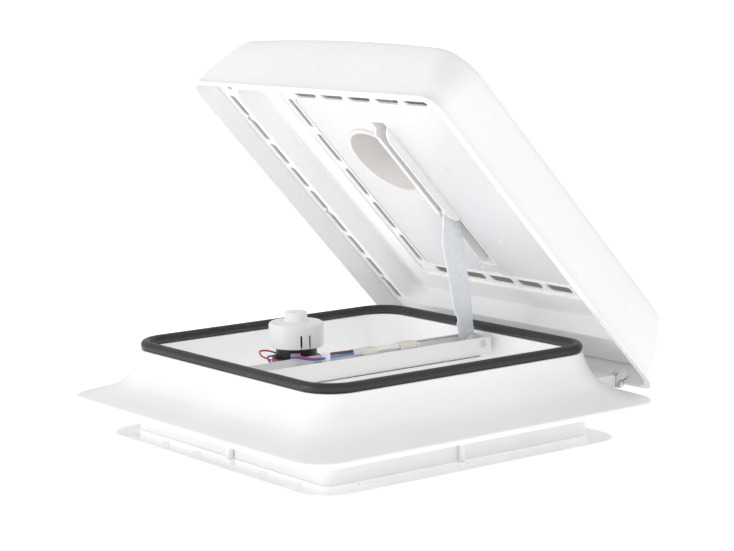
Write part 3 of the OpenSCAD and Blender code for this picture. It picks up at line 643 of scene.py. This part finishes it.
pocket = make("motor_pocket_cup", [lathe([
    (0, 112.2), (48.2, 112.2), (50.3, 111.2), (51, 109), (51, 75.9), (51.8, 75.1), (56.2, 75.1), (57, 75.7),
    (57, 77.5), (53.5, 77.5), (53.5, 111.4), (52.7, 113), (51, 113.6), (0, 113.6)], POCKET, 128)])
cut(pocket, [block((POCKET_FLAT, -200, 0), (80, 100, 200), 0)])
add(pocket, [block((POCKET_FLAT - RAIL_WALL, POCKET[1] - POCKET_FLAT_REACH, 75.6),
                   (POCKET_FLAT, POCKET[1] + POCKET_FLAT_REACH, 113.1), 0.3)])
open_up(pocket)
dress(pocket, "dome", PAINTED_SHADE_CUP, ["motor_pocket"])

rail = make("arm_rail_moulding", [block((-RAIL_HALF, RAIL_FRONT, PANE_Z), (RAIL_HALF, RAIL_BACK, RAIL_TOP))])
# The rail's two ribs seen from the side, as places along Y and heights
NEAR_RIB = [(-125, 79), (-121, 70.5), (-109, 66.5), (24, 66.5), (36, 70.5), (43, 79)]
FAR_RIB = [(-121, 79), (-118, 73), (-112, 71), (30, 71), (36, 73), (40, 79)]


def rib_side(outline):
    """The rib's side view with its lower corners rounded."""
    points = [outline[0]]
    for i in range(1, len(outline) - 1):
        points.extend(tuple(p) for p in bend(outline[i - 1], outline[i], outline[i + 1], 7, 5))
    return points + [outline[-1]]


TO_SIDE = Matrix(((0, 0, 1, 0), (1, 0, 0, 0), (0, 1, 0, 0), (0, 0, 0, 1)))
rail_ribs = [moved(prism(rib_side(outline), low, low + RAIL_WALL, 0.4), TO_SIDE)
             for outline, low in ((NEAR_RIB, HOLLOW_HALF), (FAR_RIB, -RAIL_HALF))]
lips = [block((x, -112, RAIL_Z - 10.5), (x + 3.6, RAIL_SLOT_BACK, RAIL_Z - HOLLOW_REACH), 0.3)
        for x in (-12.2, 8.6)]
for shape in rail_ribs + lips:
    add(rail, [shape])
HOLLOW_BACK = RAIL_BACK - RAIL_WALL
rail_hollows = [
    block((-HOLLOW_HALF, RAIL_SLOT_FRONT, RAIL_Z - HOLLOW_REACH), (HOLLOW_HALF, HOLLOW_BACK, RAIL_Z + HOLLOW_REACH)),
    block((-HOLLOW_HALF, RAIL_SLOT_BACK, RAIL_Z - 12), (HOLLOW_HALF, HOLLOW_BACK, RAIL_TOP - 2.5)),
    block((-2.5, RAIL_SLOT_FRONT, RAIL_Z), (2.5, HOLLOW_BACK, RAIL_Z + 12), 0)]
for hollow in rail_hollows:
    cut(rail, [hollow])
open_up(rail)
dress(rail, "dome", LINER, ["arm_rail"])
# Painted shade: the deep end of the rail, behind the arm, gets a darker brown material on its inner faces
rail.data.materials.append(PAINTED_SHADE_RECESS)
CLOSED = OPENED.inverted()
PAINTED_SHADE_LOW = 86
for polygon in rail.data.polygons:
    middle = CLOSED @ (polygon.center / MM)
    inward = abs(middle.x) < HOLLOW_HALF + 0.2 and RAIL_SLOT_FRONT < middle.y < RAIL_BACK - 2
    if inward and PAINTED_SHADE_LOW < middle.z < RAIL_TOP - 2:
        polygon.material_index = 1

# ---------------------------------------------------------------- lifting arm

HALF_ARM = 14
NOTCH, NOTCH_RADIUS = (31, -HALF_ARM - 5), 8.5
arm_outline = circle((0, 0), 12, 24, 90, 270) + [(20, -12), (23.2, -12.8)]
arm_outline += [(NOTCH[0] + NOTCH_RADIUS * math.cos(math.radians(a)),
                 NOTCH[1] + NOTCH_RADIUS * math.sin(math.radians(a))) for a in range(142, 35, -12)]
arm_outline += [(40, -HALF_ARM), (132, -HALF_ARM - 4.5)] + circle((ARM_LENGTH, 0), 10, 20, -78, 78)
arm_outline += [(138, HALF_ARM), (40, HALF_ARM), (22, 12)]
ARM_PLATE = ON_ARM @ Matrix(((0, 0, -1, 0), (-1, 0, 0, 0), (0, 1, 0, 0), (0, 0, 0, 1)))
arm = make("lifting_arm_strip", [prism(arm_outline, -1, 1, 0.35)], ARM_PLATE)
dress(arm, "arm", STRIP, ["lifting_arm"])

# ---------------------------------------------------------------- motor

MOTOR = (-58, -52)
cap_profile = [(23, 70.5), (23, 68.5), (32.7, 68.5), (33.5, 69.3), (33.5, 95), (32.7, 97.3), (30.5, 98.5),
               (17, 98.5), (15, 99.1), (14, 100.6), (14, 108), (13.3, 110.3), (11.5, 111), (0, 111), (0, 108.5),
               (10.5, 108.5), (10.5, 96), (31, 96), (31, 70.5)]
motor_cap = make("motor_cap_cover", [lathe(cap_profile, MOTOR, 96)])
for turn in (-6, -25):
    cut(motor_cap, [moved(block((29.5, -1.2, 67.5), (35.5, 1.2, 85.5), 0),
                          Matrix.Translation((*MOTOR, 0)) @ Matrix.Rotation(math.radians(turn), 4, "Z"))])
dress(motor_cap, "frame", BEAM, ["motor_cap"])

# ---------------------------------------------------------------- leads

RED_ROUTE = [(-75.4, -70.2, 59), (-83, -79, 62), (-82, -90, 62), (-66, -97, 59), (-48, -95, 57), (-32, -90, 57),
             (-22, -85, 60.5), (-14, -81, 64.3), (-4, -78, 64.3), (6, -76, 64.4), (13, -74, 64.7), (17, -71, 65),
             (18, -68.1, 65)]
BLUE_ROUTE = [(-66, -76, 58), (-70, -86, 57), (-62, -91, 54), (-50, -91, 51), (-38, -91, 50), (-28, -92, 52),
              (-20, -91, 59), (-13.5, -88, 64.2), (-6, -86, 64.4), (4, -84, 64.3), (14, -80, 64.4),
              (20.5, -74, 65.3), (22, -68.1, 66)]
SUPPLY_BLUE = [(22, -64, 66), (22.6, -55, 66.3), (22.2, -45, 66.2), (21.8, -35, 66), (22, -27, 66)]
SUPPLY_BROWN = [(22, -64, 69.6), (21.6, -55, 70), (22.2, -45, 69.8), (22.2, -35, 69.6), (22, -27, 69.6)]
CONDUIT = [(22, 7.1, 66), (22, 9, 66), (22.4, 15, 66.6), (21.8, 24, 66.8), (22.2, 33, 66.4), (22, 41, 66),
           (22, 42.9, 66)]
for name, route, radius, slot, material in (
        ("motor_lead_red", RED_ROUTE, 1.1, "lead_red", RED),
        ("motor_lead_blue", BLUE_ROUTE, 1.1, "lead_blue", BLUE),
        ("supply_lead_blue", SUPPLY_BLUE, 1.7, "lead_blue", SKY),
        ("supply_lead_brown", SUPPLY_BROWN, 1.7, "lead_brown", BROWN),
        ("lead_conduit", CONDUIT, 3.4, "beam_white", BEAM)):
    lead = make(name + "_sheath", [sweep(curve_through(route), radius)])
    dress(lead, "frame", material, [name])

# ---------------------------------------------------------------- CAD nodes that keep their shape

KEPT = {
    "hinge_bracket_left": (FRAME_WHITE, 0.5), "hinge_bracket_right": (FRAME_WHITE, 0.5),
    "hinge_lugs_left": (FRAME_WHITE, 0.5), "hinge_lugs_right": (FRAME_WHITE, 0.5),
    "hinge_pin_left": (STEEL, 0.3), "hinge_pin_right": (STEEL, 0.3), "bracket_screws": (STEEL, 0.3),
    "trim_screws": (STEEL, 0.3), "crossbeam_tray": (BEAM, 0.5), "crossbeam_cover": (BEAM, 0.8),
    "light_diffuser": (DIFFUSER, 0.4), "light_board": (BOARD, 0.1), "control_board": (BOARD, 0.1),
    "button_open": (GREY, 0.6), "button_close": (GREY, 0.6), "button_light": (GREY, 0.6),
    "motor_body": (BLACK, 0.4), "motor_gearcase": (BLACK, 0.5), "limit_switch": (GREY, 0.3),
    "lead_sleeve": (SLEEVE, 0.5), "connector_front": (CREAM, 0.4), "connector_rear": (CREAM, 0.4),
    "lead_clips": (BEAM, 0.4), "drive_shaft": (STEEL, 0.3), "drive_worm": (BRASS, 0.2), "shaft_bushes": (ACETAL, 0.2),
    "arm_worm_wheel": (ACETAL, 0.15), "arm_shaft": (STEEL, 0.2), "arm_shaft_bushes": (ACETAL, 0.1),
    "arm_pin": (STEEL, 0.2), "arm_roller": (ACETAL, 0.3), "dome_screws": (STEEL, 0.3)}
for name, (material, width) in KEPT.items():
    dress_node(name, material, width)

# ---------------------------------------------------------------- floor, light and camera

FLOOR_Z = -58 * MM
FLOOR_SIZE = 60
FLOOR_GAP = 0.0002
bpy.ops.mesh.primitive_plane_add(size=FLOOR_SIZE, location=(0, 0, FLOOR_Z - FLOOR_GAP))
floor = bpy.context.object
floor.name = "floor"
floor_material, tree, shader, place = new_material("floor_white")
tree.links.new(blend_colours(tree, noise(tree, place, 1.5, 2), (0.9, 0.9, 0.9), (0.92, 0.92, 0.92)),
               shader.inputs["Base Color"])
shader.inputs["Roughness"].default_value = 0.9
shader.inputs["Emission Color"].default_value = (1, 1, 1, 1)
shader.inputs["Emission Strength"].default_value = 0.58
floor.data.materials.append(floor_material)

world = bpy.data.worlds.new("studio")
bpy.context.scene.world = world
world.use_nodes = True
background = next(n for n in world.node_tree.nodes if n.type == "BACKGROUND")
background.inputs["Color"].default_value = (1.0, 1.0, 1.0, 1)
background.inputs["Strength"].default_value = 0.8

LIGHT_SIZE = 1.2


def area_light(name, location, power):
    """A round soft light that points at the object's middle."""
    light = bpy.data.lights.new(name, "AREA")
    light.shape = "DISK"
    light.size = LIGHT_SIZE
    light.energy = power
    obj = bpy.data.objects.new(name, light)
    bpy.context.scene.collection.objects.link(obj)
    obj.location = location
    obj.rotation_mode = "QUATERNION"
    obj.rotation_quaternion = (-Vector(location)).to_track_quat("-Z", "Y")


area_light("key", (-1.0, -2.9, 0.4), 21)
area_light("fill", (2.8, -1.6, 0.3), 6.5)

AZIMUTH, ELEVATION, ROLL = math.radians(52.5), math.radians(8.51), math.radians(-0.87)
RANGE, SHIFT_RIGHT, SHIFT_UP = 2588, 10.8, 84.1
FOCAL_SHARE = 2132.7 / 734
SENSOR = 36.0
AIM = Vector((0, 0, SEAL_Z))
right = Vector((math.cos(AZIMUTH), math.sin(AZIMUTH), 0))
back = Vector((math.sin(AZIMUTH) * math.cos(ELEVATION), -math.cos(AZIMUTH) * math.cos(ELEVATION), math.sin(ELEVATION)))
up = back.cross(right)
camera_data = bpy.data.cameras.new("camera")
camera_data.sensor_width = SENSOR
camera_data.lens = FOCAL_SHARE * SENSOR
camera_data.clip_start, camera_data.clip_end = 0.05, 60
camera = bpy.data.objects.new("camera", camera_data)
bpy.context.scene.collection.objects.link(camera)
turned_right = math.cos(ROLL) * right + math.sin(ROLL) * up
turned_up = math.cos(ROLL) * up - math.sin(ROLL) * right
camera.matrix_world = Matrix.Translation((AIM + back * RANGE + right * SHIFT_RIGHT + up * SHIFT_UP) * MM) @ Matrix(
    (turned_right, turned_up, back)).transposed().to_4x4()
bpy.context.scene.camera = camera
bpy.context.scene.view_settings.view_transform = "Standard"
